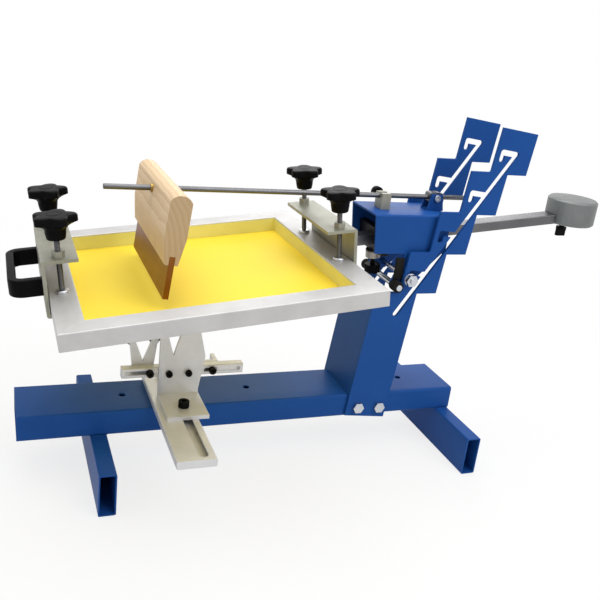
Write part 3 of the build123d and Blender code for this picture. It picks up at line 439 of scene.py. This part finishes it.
def piece_from(work, name, matrix=Matrix.Identity(4), sharp_from=None):
    """Turns a bmesh into a piece, placed by the matrix."""
    mesh = bpy.data.meshes.new(name)
    bmesh.ops.recalc_face_normals(work, faces=work.faces)
    work.transform(matrix)
    work.to_mesh(mesh)
    work.free()
    if sharp_from:
        soften_shading(mesh, sharp_from)
    return put_in_scene(name, mesh)


def frame_at(place, way):
    """A matrix at the place whose Z runs along the way."""
    return Matrix.Translation(place) @ Vector(way).to_track_quat("Z", "Y").to_matrix().to_4x4()


def ram_matrix(place):
    """A matrix at the place whose X runs along the ram and whose Z stands square on the screen."""
    turn = Matrix((ram_axis, ram_up.cross(ram_axis), ram_up)).transposed().to_4x4()
    return Matrix.Translation(place) @ turn


def block_at(work, centre, size):
    """Adds a block to a bmesh."""
    bmesh.ops.create_cube(work, size=1, matrix=Matrix.Translation(centre) @ Matrix.Diagonal((*size, 1)))


# ---------------------------------------------------------------- shapes that repeat, grown by node trees
class Growth(NodeWork):
    """A geometry tree with named sizes, which ends in one realized shape of one material."""

    def __init__(self, name, **sizes):
        super().__init__(bpy.data.node_groups.new(name, "GeometryNodeTree"))
        face = self.tree.interface
        self.keys = {}
        for label, value in sizes.items():
            kind = "NodeSocketInt" if isinstance(value, int) else "NodeSocketFloat"
            socket = face.new_socket(name=label, in_out="INPUT", socket_type=kind)
            socket.default_value = value
            self.keys[label] = socket.identifier
        surface = face.new_socket(name="Finish", in_out="INPUT", socket_type="NodeSocketMaterial")
        self.keys["Finish"] = surface.identifier
        face.new_socket(name="Geometry", in_out="OUTPUT", socket_type="NodeSocketGeometry")
        self.entry = self.tree.nodes.new("NodeGroupInput")

    def size(self, label):
        return Wire(self, self.entry.outputs[label])

    def vector(self, x=0.0, y=0.0, z=0.0):
        return self.node("ShaderNodeCombineXYZ", {}, {"X": x, "Y": y, "Z": z})

    def moved(self, shape, **sockets):
        return self.node("GeometryNodeTransform", {}, {"Geometry": shape, **sockets})

    def joined(self, *shapes):
        join = self.tree.nodes.new("GeometryNodeJoinGeometry")
        for shape in shapes:
            self.tree.links.new(shape.socket, join.inputs[0])
        return Wire(self, join.outputs[0])

    def finished(self, shape):
        """Closes the tree: instances become real and take the finish."""
        real = self.node("GeometryNodeRealizeInstances", {}, {"Geometry": shape})
        surface = {"Geometry": real, "Material": self.size("Finish")}
        dressed = self.node("GeometryNodeSetMaterial", {}, surface)
        exit_node = self.tree.nodes.new("NodeGroupOutput")
        self.tree.links.new(dressed.socket, exit_node.inputs[0])
        return self

    def grow(self, name, finish, places):
        """One piece of the shape at every place, where a place is a matrix and the shape's sizes there."""
        whole = bmesh.new()
        for matrix, sizes in places:
            seed = put_in_scene(name + "_seed", bpy.data.meshes.new(name + "_seed"))
            grower = seed.modifiers.new("grow", "NODES")
            grower.node_group = self.tree
            for label, value in {**sizes, "Finish": finishes[finish]}.items():
                grower[self.keys[label]] = value
            graph = bpy.context.evaluated_depsgraph_get()
            grown = bpy.data.meshes.new_from_object(seed.evaluated_get(graph))
            seed.modifiers.remove(grower)
            grown.transform(matrix)
            whole.from_mesh(grown)
            bpy.data.objects.remove(seed)
            bpy.data.meshes.remove(grown)
        mesh = bpy.data.meshes.new(name)
        whole.to_mesh(mesh)
        whole.free()
        return put_in_scene(name, mesh)


def threaded_rod_tree():
    """A rod along Z with a real helical thread of the given pitch."""
    tree = Growth("threaded_rod", Radius=4 * MM, Pitch=1.25 * MM, Length=70 * MM)
    ridge_share, turn_steps, ridge_sides, core_sides = 0.42, 20, 4, 24
    ridge = tree.size("Pitch") * ridge_share
    crest = tree.size("Radius") - ridge
    helix_sizes = {
        "Resolution": turn_steps,
        "Rotations": tree.size("Length") / tree.size("Pitch") - 1.0,
        "Start Radius": crest,
        "End Radius": crest,
        "Height": tree.size("Length") - tree.size("Pitch"),
    }
    helix = tree.node("GeometryNodeCurveSpiral", {}, helix_sizes)
    section = tree.node("GeometryNodeCurvePrimitiveCircle", {}, {"Resolution": ridge_sides, "Radius": ridge})
    sweep = {"Curve": helix, "Profile Curve": section, "Fill Caps": True}
    thread = tree.node("GeometryNodeCurveToMesh", {}, sweep)
    core_sizes = {"Vertices": core_sides, "Radius": crest, "Depth": tree.size("Length")}
    core = tree.node("GeometryNodeMeshCylinder", {}, core_sizes)
    raised = tree.moved(core, Translation=tree.vector(z=tree.size("Length") * 0.5))
    lifted = tree.moved(thread, Translation=tree.vector(z=tree.size("Pitch") * 0.5))
    return tree.finished(tree.joined(raised, lifted))


def weld_bead_tree():
    """A row of overlapping ripples along X, each a little different."""
    tree = Growth("weld_bead", Length=100 * MM, Width=4 * MM, Seed=1)
    ripple_step, flattened = 0.4, (0.75, 1.0, 0.6)
    smallest, largest = (0.9, 0.86, 0.85), (1.1, 1.12, 1.15)
    count = tree.size("Length") / (tree.size("Width") * ripple_step)
    line = tree.node(
        "GeometryNodeMeshLine",
        {"mode": "END_POINTS"},
        {"Count": count, "Start Location": (0, 0, 0), "Offset": tree.vector(x=tree.size("Length"))},
    )
    ball_sizes = {"Segments": 10, "Rings": 6, "Radius": tree.size("Width") * 0.5}
    ripple = tree.moved(tree.node("GeometryNodeMeshUVSphere", {}, ball_sizes), Scale=flattened)
    swing = tree.node(
        "FunctionNodeRandomValue",
        {"data_type": "FLOAT_VECTOR"},
        {0: smallest, 1: largest, "Seed": tree.size("Seed")},
    )
    return tree.finished(
        tree.node("GeometryNodeInstanceOnPoints", {}, {"Points": line, "Instance": ripple, "Scale": swing})
    )


def knurl_tree():
    """A ring of fine ridges round a screw's head, standing along Z."""
    tree = Growth("knurl", Radius=8 * MM, Height=9 * MM, Ridges=48)
    depth_share, width_share, height_share = 0.045, 1.3, 0.8
    circle = {"Vertices": tree.size("Ridges"), "Radius": tree.size("Radius")}
    ring = tree.node("GeometryNodeMeshCircle", {}, circle)
    outward = tree.node("GeometryNodeInputPosition")
    aim = tree.node("FunctionNodeAlignRotationToVector", {"axis": "X"}, {"Vector": outward})
    depth = tree.size("Radius") * depth_share
    ridge_size = tree.vector(depth, depth * width_share, tree.size("Height") * height_share)
    ridge = tree.node("GeometryNodeMeshCube", {}, {"Size": ridge_size})
    row = tree.node("GeometryNodeInstanceOnPoints", {}, {"Points": ring, "Instance": ridge, "Rotation": aim})
    return tree.finished(tree.moved(row, Translation=tree.vector(z=tree.size("Height") * 0.5)))


THREADED_ROD = threaded_rod_tree()
WELD_BEAD = weld_bead_tree()
KNURL = knurl_tree()


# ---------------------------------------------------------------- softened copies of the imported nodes
REMADE = {"screen_mesh", *(f"clamp_knob_{corner}" for corner in CORNERS)}
FINISH_OF_NODE = {**dict.fromkeys(SIDE_RAILS, "side_aluminium"), **dict.fromkeys(GUIDES, "guide_steel")}
EDGE = 0.4 * MM
EDGE_OF_NODE = {**dict.fromkeys(("beam", *FEET), 0.0), "squeegee_handle": 1.2 * MM, "counterweight": 0.6 * MM}
SHARP_FROM = 35


def merged_copy(node, name):
    """The node's own shape with its loose triangles joined into clean faces."""
    touching, flat = 0.002 * MM, radians(0.5)
    mesh = nodes[node].data.copy()
    mesh.name = name
    work = bmesh.new()
    work.from_mesh(mesh)
    bmesh.ops.remove_doubles(work, verts=work.verts, dist=touching)
    bmesh.ops.dissolve_limit(work, angle_limit=flat, verts=work.verts, edges=work.edges)
    work.to_mesh(mesh)
    work.free()
    return put_in_scene(name, mesh)


def soften_edges(piece, width):
    """A small round on every edge that isn't part of a curve."""
    soften = piece.modifiers.new("edges", "BEVEL")
    soften.width = width
    soften.segments = 2
    soften.limit_method = "ANGLE"
    soften.angle_limit = radians(SHARP_FROM)
    soften.use_clamp_overlap = True
    soften.harden_normals = True


def make_dressed_nodes():
    """A softened copy of every node that isn't made anew, standing for it."""
    for node in sorted(set(nodes) - REMADE):
        piece = merged_copy(node, node + "_dressed")
        soften_shading(piece.data, SHARP_FROM)
        edge = EDGE_OF_NODE.get(node, EDGE)
        if edge:
            soften_edges(piece, edge)
        slot = slot_of_node[node]
        finish_piece(piece, FINISH_OF_NODE.get(node, slot), body_of_node[node])
        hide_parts(node)


# ---------------------------------------------------------------- star knobs on threaded studs
STUD_LENGTH = 70 * MM
STUD_IN_KNOB = 4 * MM
STUD_RADIUS = 4 * MM
KNOB_LOBES = 5
KNOB_STEPS_PER_LOBE = 18
KNOB_TIP = 30 * MM
KNOB_VALLEY = 21.5 * MM
KNOB_LOBE_FULLNESS = 0.8
KNOB_HUB = 12.5 * MM
KNOB_HUB_TOP = 13.7 * MM
KNOB_FOOT_ROUND = 2 * MM
KNOB_HEIGHT = 33 * MM
KNOB_RIM = 10 * MM
KNOB_ROUND = 3.5 * MM
KNOB_FLARE_FOOT = 9 * MM
KNOB_FLARE_RISE = 0.85
KNOB_FLARE_SPREAD = 2.4
KNOB_CAP = 9 * MM
KNOB_CAP_GROOVE = 0.7 * MM
KNOB_CAP_DOME = 0.4 * MM
KNOB_CROWN = 0.2 * MM


def knob_rings():
    """The knob from foot to crown: each ring's height, its hub radius, and how far it reaches to the star."""
    foot_steps, flare_steps, crown_steps = 3, 12, 4
    rings = []
    for step in range(foot_steps + 1):
        angle = step * pi / 2 / foot_steps
        inset = KNOB_FOOT_ROUND * (1 - sin(angle))
        rings.append((KNOB_FOOT_ROUND * (1 - cos(angle)), KNOB_HUB - inset, 0.0))
    flare_height = KNOB_HEIGHT - KNOB_RIM - KNOB_FLARE_FOOT
    for step in range(flare_steps + 1):
        way = step / flare_steps
        height = KNOB_FLARE_FOOT + flare_height * way ** KNOB_FLARE_RISE
        rings.append((height, KNOB_HUB_TOP, way ** KNOB_FLARE_SPREAD))
    for step in range(crown_steps + 1):
        angle = step * pi / 2 / crown_steps
        inset = KNOB_ROUND * (1 - cos(angle))
        height = KNOB_HEIGHT - KNOB_ROUND + KNOB_ROUND * sin(angle)
        rings.append((height, KNOB_HUB_TOP, 1 - inset / (KNOB_TIP - KNOB_HUB_TOP)))
    return rings


def cap_rings():
    """The crown from the star to the cap pressed into it: each ring's radius and its height on the crown."""
    cap_shoulder = 0.6
    return [
        ((KNOB_CAP + KNOB_VALLEY) / 2, KNOB_CROWN),
        (KNOB_CAP + KNOB_CAP_GROOVE, 0.0),
        (KNOB_CAP + KNOB_CAP_GROOVE / 2, -KNOB_CAP_GROOVE),
        (KNOB_CAP, 0.0),
        (KNOB_CAP * cap_shoulder, KNOB_CAP_DOME),
    ]


def make_star_knob(name, matrix):
    """A moulded star knob: a round hub that flares into five lobes, with a cap pressed into its crown."""
    steps = KNOB_LOBES * KNOB_STEPS_PER_LOBE
    turns = [2 * pi * step / steps for step in range(steps)]
    work = bmesh.new()

    def ring_of(radius_at, height):
        radii = [radius_at(turn) for turn in turns]
        return [work.verts.new((far * cos(turn), far * sin(turn), height)) for far, turn in zip(radii, turns)]

    def star(turn):
        swell = (0.5 + 0.5 * cos(KNOB_LOBES * turn)) ** KNOB_LOBE_FULLNESS
        return KNOB_VALLEY + (KNOB_TIP - KNOB_VALLEY) * swell

    loops = [
        ring_of(lambda turn: hub + share * (star(turn) - hub), height) for height, hub, share in knob_rings()
    ]
    loops += [ring_of(lambda turn: radius, KNOB_HEIGHT + rise) for radius, rise in cap_rings()]
    for lower, upper in zip(loops, loops[1:]):
        for step in range(steps):
            after = (step + 1) % steps
            work.faces.new((lower[step], lower[after], upper[after], upper[step]))
    work.faces.new(loops[0])
    work.faces.new(loops[-1])
    return piece_from(work, name, matrix, sharp_from=40)


def make_clamp_knobs():
    """The four star knobs on their threaded studs, which press on the pads."""
    for corner in CORNERS:
        foot = Vector(joints["knob_turn_" + corner]["pos_m"])
        knob = make_star_knob("star_knob_" + corner, ram_matrix(foot + ram_up * STUD_LENGTH))
        finish_piece(knob, "black_plastic", "knob_" + corner)
        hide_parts("clamp_knob_" + corner)
        sizes = {"Radius": STUD_RADIUS, "Length": STUD_LENGTH + STUD_IN_KNOB}
        stud = THREADED_ROD.grow("threaded_stud_" + corner, "dark_steel", [(ram_matrix(foot), sizes)])
        finish_piece(stud, "dark_steel", "knob_" + corner)


# ---------------------------------------------------------------- welds and knurls
def make_weld_beads():
    """Fillet welds of the beam on its feet: along its sides, and across it on both sides of a foot."""
    along_gap, along_bead = 2.5 * MM, 3.5 * MM
    across_gap, across_bead = 4 * MM, 4 * MM
    beam_low, beam_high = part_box("beam")
    upright_streaks = []
    for foot in FEET:
        low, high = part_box(foot)
        for y in (beam_low.y, beam_high.y):
            start = Matrix.Translation((low.x + along_gap, y, high.z))
            upright_streaks.append((start, {"Length": high.x - low.x - 2 * along_gap, "Width": along_bead}))
        for x in (low.x, high.x):
            start = Matrix.Translation((x, beam_low.y + across_gap, high.z)) @ Matrix.Rotation(pi / 2, 4, "Z")
            upright_streaks.append((start, {"Length": beam_high.y - beam_low.y - 2 * across_gap, "Width": across_bead}))
    beads = WELD_BEAD.grow("foot_welds", "blue_paint", upright_streaks)
    beads.data.shade_smooth()
    finish_piece(beads, "blue_paint", "base")


def make_knurls():
    """Knurled rims of the socket cap screws, one piece for each body."""
    up, ahead = Vector((0, 0, 1)), Vector((0, -1, 0))
    ridges_per_mm = 3.2
    rims = {}

    def rim(node, place, way, diameter, height):
        sizes = {"Radius": diameter / 2, "Height": height, "Ridges": int(diameter / MM * ridges_per_mm)}
        rims.setdefault(body_of_node[node], []).append((slot_of_node[node], frame_at(place, way), sizes))

    low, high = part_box("jig_bolt")
    diameter, height = 16 * MM, 10 * MM
    rim("jig_bolt", ((low.x + high.x) / 2, (low.y + high.y) / 2, high.z - height), up, diameter, height)
    for node in ("carrier_screw", "collar_screw"):
        low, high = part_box(node)
        diameter, height = 11 * MM, 8 * MM
        rim(node, ((low.x + high.x) / 2, low.y + height, (low.z + high.z) / 2), ahead, diameter, height)
    low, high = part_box("jig_column_screws")
    diameter, height = 10 * MM, 6 * MM
    for x in (low.x + diameter / 2, high.x - diameter / 2):
        rim("jig_column_screws", (x, low.y + height, (low.z + high.z) / 2), ahead, diameter, height)
    low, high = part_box("jig_arm_screws")
    diameter, height, spacer = 13 * MM, 8 * MM, 14 * MM
    for y in (low.y + spacer / 2, high.y - spacer / 2):
        rim("jig_arm_screws", ((low.x + high.x) / 2, y, high.z - height), up, diameter, height)
    for body, group in rims.items():
        slot = group[0][0]
        rings = KNURL.grow(body + "_knurls", slot, [(matrix, sizes) for _, matrix, sizes in group])
        finish_piece(rings, slot, body)


# ---------------------------------------------------------------- screen, and the painted reflection of it on the frame's walls
def make_screen_cloth():
    """The stretched mesh: one sheet glued under the rails."""
    thickness, end_trim, side_trim, cells = 0.5 * MM, 2 * MM, 1 * MM, 60
    low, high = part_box("screen_mesh")
    length = (high.x - low.x) / cos(ram_tilt) - end_trim
    width = high.y - low.y - side_trim
    turn = Matrix.Translation((low + high) / 2) @ Matrix.Rotation(-ram_tilt, 4, "Y")
    work = bmesh.new()
    bmesh.ops.create_grid(work, x_segments=cells, y_segments=cells, size=0.5, matrix=Matrix.Identity(4))
    for vertex in work.verts:
        vertex.co = turn @ Vector((vertex.co.x * length, vertex.co.y * width, 0))
    sheet = bpy.data.meshes.new("screen_cloth")
    work.to_mesh(sheet)
    work.free()
    cloth = put_in_scene("screen_cloth", sheet)
    thick = cloth.modifiers.new("thickness", "SOLIDIFY")
    thick.thickness = thickness
    thick.offset = 0.0
    finish_piece(cloth, "yellow_mesh", "ram")
    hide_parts("screen_mesh")


def make_wall_reflection_film():
    """A yellow film on the inner walls of the frame, as a painted reflection of the mesh in them."""
    film, above_mesh = 0.3 * MM, 0.3 * MM
    rail_height, film_height_share = 24 * MM, 0.92
    low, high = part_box("screen_mesh")
    near_low, near_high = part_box("frame_rail_near")
    far_low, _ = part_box("frame_rail_far")
    rail_width = near_high.y - near_low.y
    frame_length = (near_high.x - near_low.x - rail_height * sin(ram_tilt)) / cos(ram_tilt)
    half_width = (far_low.y - near_high.y) / 2 - film / 2
    half_length = frame_length / 2 - rail_width - film / 2
    rise = rail_height * film_height_share
    level = above_mesh + rise / 2
    work = bmesh.new()
    for side in (-1, 1):
        # Painted reflection: yellow strips on the walls where the mesh shows in the aluminium.
        block_at(work, (0, side * half_width, level), (2 * half_length, film, rise))
        block_at(work, (side * half_length, 0, level), (film, 2 * half_width - film, rise))
    walls = piece_from(work, "frame_emulsion", ram_matrix((low + high) / 2))
    finish_piece(walls, "frame_emulsion", "ram")


# ---------------------------------------------------------------- rubber on the head
def make_rest_buffers():
    """Rubber blocks on the head's ears, above the sleeves of the rest bar."""
    width, thickness, height = 15 * MM, 4 * MM, 36 * MM
    ahead, over_sleeve, off_ear, rounding = 3.5 * MM, 0.3 * MM, 0.2 * MM, 1.2 * MM
    head_low, head_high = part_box("head_housing")
    sleeve_low, sleeve_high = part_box("rest_sleeves")
    x = (sleeve_low.x + sleeve_high.x) / 2 + ahead
    z = sleeve_high.z + over_sleeve + height / 2
    work = bmesh.new()
    for y in (head_low.y - thickness / 2 - off_ear, head_high.y + thickness / 2 + off_ear):
        block_at(work, (x, y, z), (width, thickness, height))
    bmesh.ops.bevel(
        work, geom=work.edges[:], offset=rounding, segments=3, affect="EDGES", profile=0.5, clamp_overlap=True
    )
    buffers = piece_from(work, "rest_buffers", sharp_from=50)
    finish_piece(buffers, "roller_rubber", "head")


# ---------------------------------------------------------------- stage, light and camera
FLOOR_REACH = 6.0
LAMP_TARGET = Vector((0, 0, 0.3))
LAMPS = {
    "key": {"place": (0.9, -1.6, 2.2), "size": (1.6, 1.6), "watts": 28},
    "top": {"place": (-0.3, 0.3, 2.4), "size": (2.0, 2.0), "watts": 34},
    "rim": {"place": (1.0, 2.2, 1.3), "size": (1.6, 1.0), "watts": 10},
}
CAMERA_PLACE = Vector((-0.507111, -1.08374, 0.68170))
CAMERA_YAW = 0.3984
CAMERA_PITCH = 0.3450
CAMERA_ROLL = 0.1200
CAMERA_LENS_MM = 46.63
CAMERA_SENSOR_MM = 36.0


def make_stage():
    """A pale floor that is white to the camera and keeps the press's shadow near its feet."""
    mesh = bpy.data.meshes.new("floor")
    corners = [(-1, -1), (1, -1), (1, 1), (-1, 1)]
    mesh.from_pydata([(x * FLOOR_REACH, y * FLOOR_REACH, 0) for x, y in corners], [], [(0, 1, 2, 3)])
    floor = put_in_scene("floor", mesh)
    finish = Finish("pale_floor", Roughness=0.9, Base_Color=colour(238, 238, 238))
    away = finish.node("ShaderNodeVectorMath", {"operation": "LENGTH"}, {0: finish.place()}, output="Value")
    white = finish.backdrop_rays() * finish.between(away, low=0.78, high=1.0, start=0.5, end=1.7)
    glow = finish.node("ShaderNodeEmission", {}, {"Color": (1, 1, 1, 1), "Strength": 1.0})
    plain = Wire(finish, finish.shader.outputs[0])
    surface = finish.node("ShaderNodeMixShader", {}, {0: white, 1: plain, 2: glow})
    finish.tree.links.new(surface.socket, finish.tree.nodes["Material Output"].inputs[0])
    mesh.materials.append(finish.material)


def make_world():
    """White surroundings that light the press at half that level."""
    fill_level = 0.5
    world = bpy.data.worlds.new("studio")
    world.use_nodes = True
    bpy.context.scene.world = world
    work = NodeWork(world.node_tree)
    background = work.tree.nodes["Background"]
    background.inputs["Color"].default_value = (1, 1, 1, 1)
    level = work.between(work.backdrop_rays(), low=fill_level, high=1.0)
    work.tree.links.new(level.socket, background.inputs["Strength"])


def make_lamps():
    for name, lamp in LAMPS.items():
        light = bpy.data.lights.new(name, "AREA")
        light.shape = "RECTANGLE"
        light.size, light.size_y = lamp["size"]
        light.energy = lamp["watts"]
        hung = put_in_scene(name, light)
        hung.location = lamp["place"]
        hung.rotation_euler = (LAMP_TARGET - hung.location).to_track_quat("-Z", "Y").to_euler()


def make_camera():
    """The camera at its place, turned and rolled, for a square picture."""
    yaw, pitch, roll = CAMERA_YAW, CAMERA_PITCH, CAMERA_ROLL
    forward = Vector((sin(yaw) * cos(pitch), cos(yaw) * cos(pitch), -sin(pitch)))
    level_right = Vector((cos(yaw), -sin(yaw), 0))
    level_up = level_right.cross(forward)
    right = cos(roll) * level_right + sin(roll) * level_up
    up = -sin(roll) * level_right + cos(roll) * level_up
    data = bpy.data.cameras.new("camera")
    data.lens = CAMERA_LENS_MM
    data.sensor_width = CAMERA_SENSOR_MM
    camera = put_in_scene("camera", data)
    turn = Matrix((right, up, -forward)).transposed().to_4x4()
    camera.matrix_world = Matrix.Translation(CAMERA_PLACE) @ turn
    bpy.context.scene.camera = camera


make_dressed_nodes()
make_clamp_knobs()
make_weld_beads()
make_knurls()
make_screen_cloth()
make_wall_reflection_film()
make_rest_buffers()
make_stage()
make_world()
make_lamps()
make_camera()
bpy.context.scene.view_settings.view_transform = "Standard"
